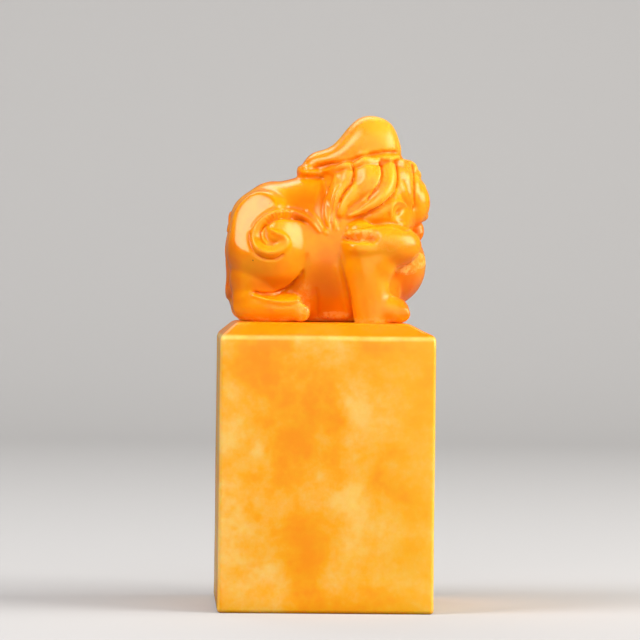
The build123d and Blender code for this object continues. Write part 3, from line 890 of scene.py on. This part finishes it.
# The crest and the mane's ridges are worn and painted paler as a highlight, the crest most on its lit right,
# the mane less so on its front
ridge = np.clip(-hollow, 0, 1)
crest_wear_and_highlight = ramp(z, 53.0, 54.0) * (0.25 + 0.85 * ramp(x, 2.5, 6.5))
mane_wear_and_highlight = ramp(z, 44.5, 47.0) * ramp(x, 0.0, 2.0) * (0.45 + 0.75 * ramp(ridge, 0.0, 0.4))
wear_and_highlight = np.maximum(crest_wear_and_highlight, mane_wear_and_highlight) * (1 - 0.8 * ramp(x, 7.2, 8.4) * (1 - ramp(z, 48.0, 51.0)))
wear_and_highlight = highest(wear_and_highlight, places, wear_and_highlight_places, core=0.4)
store(beast, "wear_and_highlight", wear_and_highlight * (1 - 0.7 * shade))

modified(beast, "DECIMATE", ratio=min(1.0, knob_triangles / (2 * len(beast.data.polygons))))
knob_stone = stone_finish(
    "carved_stone", (rgb(248, 136, 0), rgb(254, 152, 2), rgb(254, 164, 12)), cloud_size=0.006, gloss=0.20,
    carved=True,
)
finished(beast, knob_stone, *[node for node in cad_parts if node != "seal_block"])


# The block with its plinth
bpy.ops.object.select_all(action="DESELECT")
bpy.ops.mesh.primitive_cube_add(size=1, location=(0, 0, 0))
block = bpy.context.object
block.name = block.data.name = "stone_block"
block.scale = (block_side, block_side, block_height)
block.location = (0, 0, block_height / 2)
bpy.ops.object.transform_apply(location=True, rotation=True, scale=True)


def choose(piece, keep):
    """Selects the faces, in edit mode, whose middle passes a test."""
    bpy.ops.object.mode_set(mode="OBJECT")
    for flat in piece.data.polygons:
        flat.select = keep(flat.center, flat.normal)
    bpy.ops.object.mode_set(mode="EDIT")


bpy.ops.object.mode_set(mode="EDIT")
bpy.ops.mesh.select_mode(type="FACE")
bpy.ops.mesh.select_all(action="DESELECT")
choose(block, lambda middle, normal: normal.z > 0.9)
plinth_top = block_height + plinth_height
bpy.ops.mesh.extrude_region_move(TRANSFORM_OT_translate={"value": (plinth_shift, 0, plinth_height)})
plinth_share_x = (block_side - 2 * plinth_margin_x) / block_side
plinth_share_y = (block_side - 2 * plinth_margin_y) / block_side
bpy.ops.transform.resize(
    value=(plinth_share_x, plinth_share_y, 1), center_override=(plinth_shift, 0, plinth_top),
)
bpy.ops.mesh.select_all(action="SELECT")
bpy.ops.mesh.bevel(offset=edge_round, segments=6, profile=0.5, affect="EDGES")

# Rulings every 2 mm, whose crossings are the points that the grinding then moves
upright = range(-11, 12, 2)
for normal, rulings in (((1, 0, 0), upright), ((0, 1, 0), upright), ((0, 0, 1), range(2, 32, 2))):
    for ruling in rulings:
        bpy.ops.mesh.select_all(action="SELECT")
        bpy.ops.mesh.bisect(plane_co=tuple(ruling * part for part in normal), plane_no=normal)
bpy.ops.object.mode_set(mode="OBJECT")

# The stone is ground slightly uneven, and its front edge rises and falls along X
edge_places = (-12.5, -7.5, -2.6, 1.2, 4.8, 8.9, 12.5)
edge_heights = (-0.12, 0.02, 0.22, 0.0, -0.24, -0.06, 0.08)
for point in block.data.vertices:
    x, y, z = point.co
    if z > 0.5:
        inset = noise.noise(Vector((x, y, z)) / 7) * 0.05
        point.co -= Vector((x, y, 0)).normalized() * (0.06 + inset)
        near_edge = ramp(z, 27.0, 31.4) * (1 - ramp(z, 32.4, 33.2)) * ramp(-y, 9.0, 12.2)
        unevenness = ramp(z, 32.6, 33.4) * noise.noise(Vector((x, y, 9)) / 4) * 0.08
        point.co.z += near_edge * np.interp(x, edge_places, edge_heights) + (1 - near_edge) * unevenness
block_stone = stone_finish(
    "block_stone", (rgb(252, 156, 2), rgb(253, 174, 14), rgb(251, 210, 122)), cloud_size=0.0085, gloss=0.22,
    carved=False,
)
finished(block, block_stone, "seal_block")


# A pale floor that turns up behind the stamp
floor_front, bend_start, bend_radius, backdrop_top = -0.8, 0.45, 0.25, 1.2
floor_half_width = 1.2
profile = [(floor_front, 0.0), (bend_start, 0.0)]
for angle in range(10, 91, 10):
    back, up = bend_radius * sin(radians(angle)), bend_radius - bend_radius * cos(radians(angle))
    profile.append((bend_start + back, up))
profile.append((bend_start + bend_radius, backdrop_top))
floor_mesh = bpy.data.meshes.new("pale_floor")
floor_mesh.from_pydata(
    [(side, y, z) for y, z in profile for side in (-floor_half_width, floor_half_width)], [],
    [(row * 2, row * 2 + 1, row * 2 + 3, row * 2 + 2) for row in range(len(profile) - 1)],
)
floor = bpy.data.objects.new("pale_floor", floor_mesh)
scene.collection.objects.link(floor)
floor_mesh.materials.append(
    plain_finish("pale_paper", shown=(0.50, 0.49, 0.48, 1.0), unseen=(0.22, 0.20, 0.18, 1.0), roughness=0.9)
)
alone(floor)
bpy.ops.object.shade_smooth_by_angle(angle=radians(30))

world = bpy.data.worlds.new("soft_room")
scene.world = world
world.use_nodes = True
room = Finish(world.node_tree)
room_colour = room.seen_pale(shown=(0.66, 0.65, 0.64, 1.0), unseen=(0.14, 0.135, 0.13, 1.0))
feed(room.tree, room_colour, room.tree.nodes["Background"].inputs["Color"])
